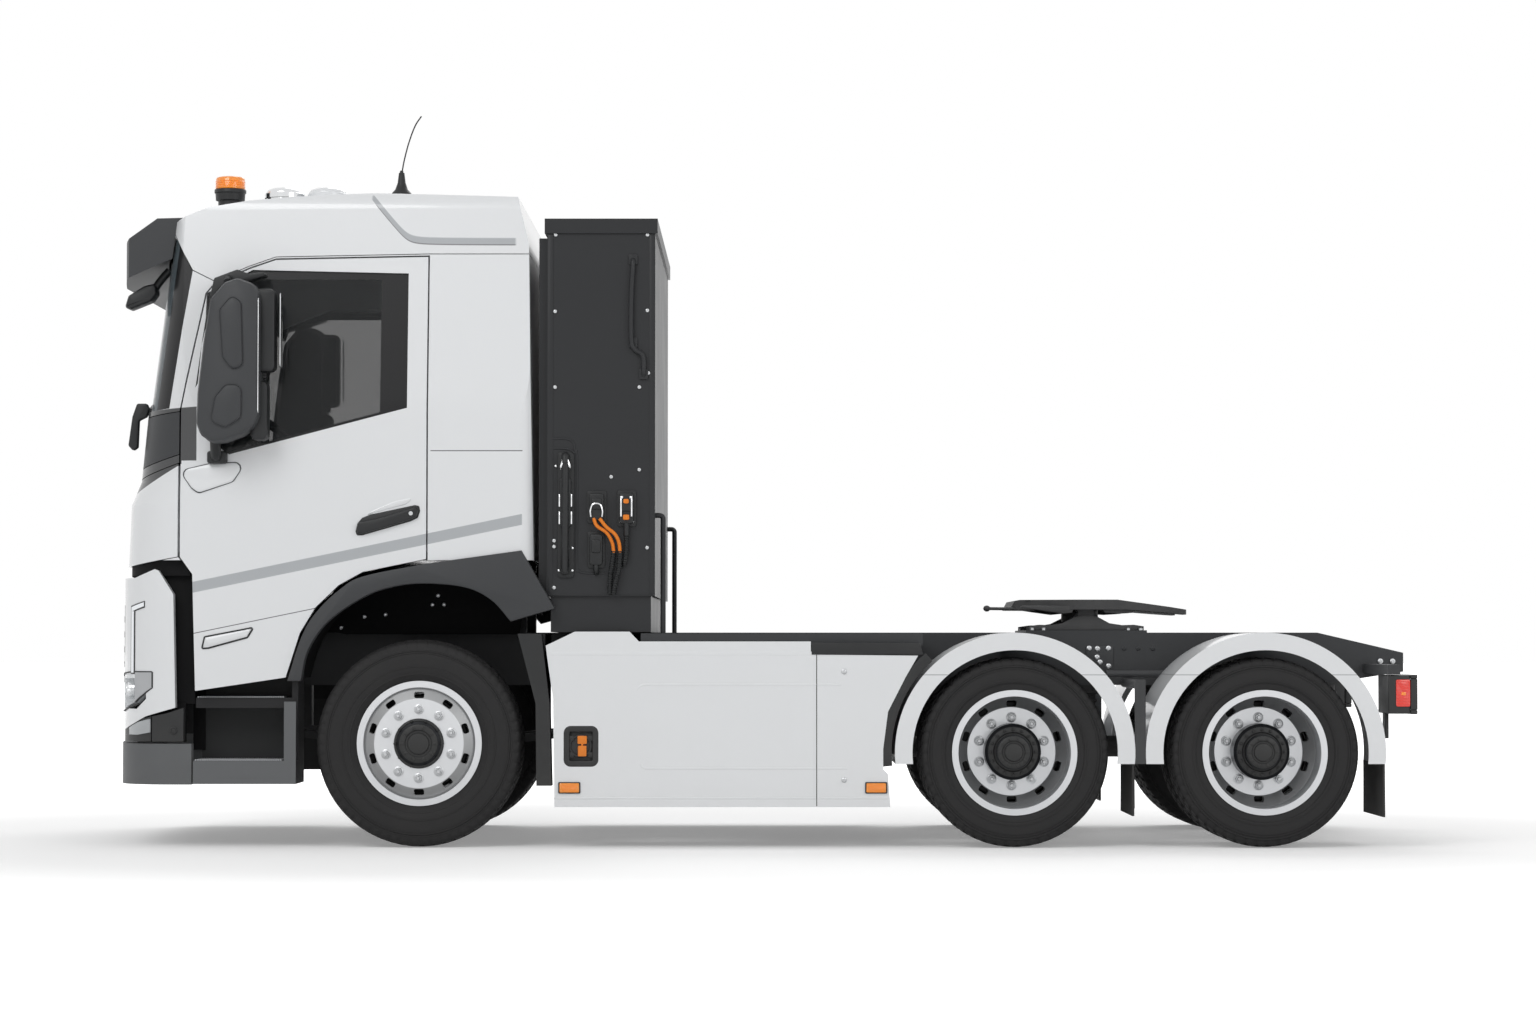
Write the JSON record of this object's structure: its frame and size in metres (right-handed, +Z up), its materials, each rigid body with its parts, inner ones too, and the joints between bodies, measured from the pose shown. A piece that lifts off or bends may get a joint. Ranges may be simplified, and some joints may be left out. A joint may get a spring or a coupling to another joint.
{
  "type": "battery-electric semi truck tractor unit",
  "caption": "Three-axle cab-over tractor unit with tilting cab, opening doors, linked steering, turning wheels and a rocking fifth wheel.",
  "frame": {"origin": "on the floor below the centre of the whole truck", "axes": "+Z up, -X towards the nose, -Y towards the truck's left side"},
  "size_m": [6.4898, 3, 3.635],
  "materials": {
    "white_paint": "gloss",
    "black_steel": "satin",
    "dark_plastic": "satin",
    "grey_plastic": "satin",
    "frame_steel": "satin",
    "cast_steel": "rough",
    "tyre_rubber": "matt",
    "flap_rubber": "matt",
    "wheel_metal": "satin",
    "dark_glass": "gloss",
    "clear_glass": "gloss",
    "orange_lead": "satin",
    "lamp_lens": "gloss",
    "red_lens": "gloss",
    "amber_lens": "gloss",
    "seat_fabric": "matt"
  },
  "bodies": {
    "chassis": {"battery_tower": "black_steel", "bumper": "grey_plastic", "cab_mounts": "cast_steel", "charging_inlet": "dark_plastic", "deck_plates": "black_steel", "drive_axles": "cast_steel", "drive_unit": "cast_steel", "entry_steps": "grey_plastic", "fifth_wheel_base": "cast_steel", "frame_rails": "frame_steel", "front_axle": "cast_steel", "front_mudguards": "dark_plastic", "front_suspension": "frame_steel", "mud_flaps": "flap_rubber", "mudguard_stays": "black_steel", "rear_air_springs": "flap_rubber", "rear_mudguards": "white_paint", "side_batteries": "black_steel", "side_skirts": "white_paint", "tail_lamps": "red_lens", "tower_cradle": "black_steel", "tower_leads": "orange_lead", "tower_plugs": "dark_plastic"},
    "cab": {"cab_shell": "white_paint", "cab_roof": "white_paint", "front_panel": "white_paint", "cowl_panel": "dark_plastic", "windscreen": "clear_glass", "sun_visor": "dark_plastic", "arch_flares": "dark_plastic", "roof_fittings": "amber_lens", "dashboard": "dark_plastic", "seats": "seat_fabric", "tilt_arms": "cast_steel", "front_hangers": "cast_steel", "lower_front_panel": "white_paint", "headlamps": "lamp_lens", "lower_front_insert": "dark_plastic"},
    "door_left": {"door_left": "white_paint", "door_glass_left": "dark_glass", "mirror_left": "dark_plastic"},
    "knuckle_left": {"knuckle_left": "cast_steel"},
    "wheel_front_left": {"tyre_front_left": "tyre_rubber", "rim_front_left": "wheel_metal"},
    "wheel_rear1_left": {"tyres_rear1_left": "tyre_rubber", "rims_rear1_left": "wheel_metal"},
    "wheel_rear2_left": {"tyres_rear2_left": "tyre_rubber", "rims_rear2_left": "wheel_metal"},
    "door_right": {"door_right": "white_paint", "door_glass_right": "dark_glass", "mirror_right": "dark_plastic"},
    "knuckle_right": {"knuckle_right": "cast_steel"},
    "wheel_front_right": {"tyre_front_right": "tyre_rubber", "rim_front_right": "wheel_metal"},
    "wheel_rear1_right": {"tyres_rear1_right": "tyre_rubber", "rims_rear1_right": "wheel_metal"},
    "wheel_rear2_right": {"tyres_rear2_right": "tyre_rubber", "rims_rear2_right": "wheel_metal"},
    "tie_rod": {"tie_rod": "cast_steel"},
    "fifth_wheel_plate": {"fifth_wheel_plate": "cast_steel"}
  },
  "joints": [
    {"name": "cab_tilt", "type": "hinge", "parent": "chassis", "child": "cab", "pos_m": [-3.12, 0, 0.66], "axis": [0, -1, 0], "range_deg": [0, 60]},
    {"name": "door_left_swing", "type": "hinge", "parent": "cab", "child": "door_left", "pos_m": [-2.875, -1.24, 1.8], "axis": [0, 0, -1], "range_deg": [0, 75]},
    {"name": "door_right_swing", "type": "hinge", "parent": "cab", "child": "door_right", "pos_m": [-2.875, 1.24, 1.8], "axis": [0, 0, 1], "range_deg": [0, 75]},
    {"name": "steer_left", "type": "hinge", "parent": "chassis", "child": "knuckle_left", "pos_m": [-1.682, -0.88, 0.507], "axis": [0, 0, 1], "range_deg": [-35, 35]},
    {"name": "steer_right", "type": "hinge", "parent": "chassis", "child": "knuckle_right", "pos_m": [-1.682, 0.88, 0.507], "axis": [0, 0, 1], "range_deg": [-35, 35]},
    {"name": "tie_rod_pivot", "type": "hinge", "parent": "knuckle_left", "child": "tie_rod", "pos_m": [-1.442, -0.83, 0.359], "axis": [0, 0, 1], "range_deg": [-35, 35]},
    {"name": "spin_front_left", "type": "hinge", "parent": "knuckle_left", "child": "wheel_front_left", "pos_m": [-1.682, -1.034, 0.507], "axis": [0, 1, 0], "continuous": true},
    {"name": "spin_rear1_left", "type": "hinge", "parent": "chassis", "child": "wheel_rear1_left", "pos_m": [1.221, -0.915, 0.463], "axis": [0, 1, 0], "continuous": true},
    {"name": "spin_rear2_left", "type": "hinge", "parent": "chassis", "child": "wheel_rear2_left", "pos_m": [2.44, -0.915, 0.463], "axis": [0, 1, 0], "continuous": true},
    {"name": "spin_front_right", "type": "hinge", "parent": "knuckle_right", "child": "wheel_front_right", "pos_m": [-1.682, 1.034, 0.507], "axis": [0, 1, 0], "continuous": true},
    {"name": "spin_rear1_right", "type": "hinge", "parent": "chassis", "child": "wheel_rear1_right", "pos_m": [1.221, 0.915, 0.463], "axis": [0, 1, 0], "continuous": true},
    {"name": "spin_rear2_right", "type": "hinge", "parent": "chassis", "child": "wheel_rear2_right", "pos_m": [2.44, 0.915, 0.463], "axis": [0, 1, 0], "continuous": true},
    {"name": "fifth_wheel_rock", "type": "hinge", "parent": "chassis", "child": "fifth_wheel_plate", "pos_m": [1.637, 0, 1.112], "axis": [0, 1, 0], "range_deg": [-8, 8]}
  ],
  "couplings": [
    {"joint": "steer_right", "follows": "steer_left", "ratio": 1},
    {"joint": "tie_rod_pivot", "follows": "steer_left", "ratio": -1}
  ]
}
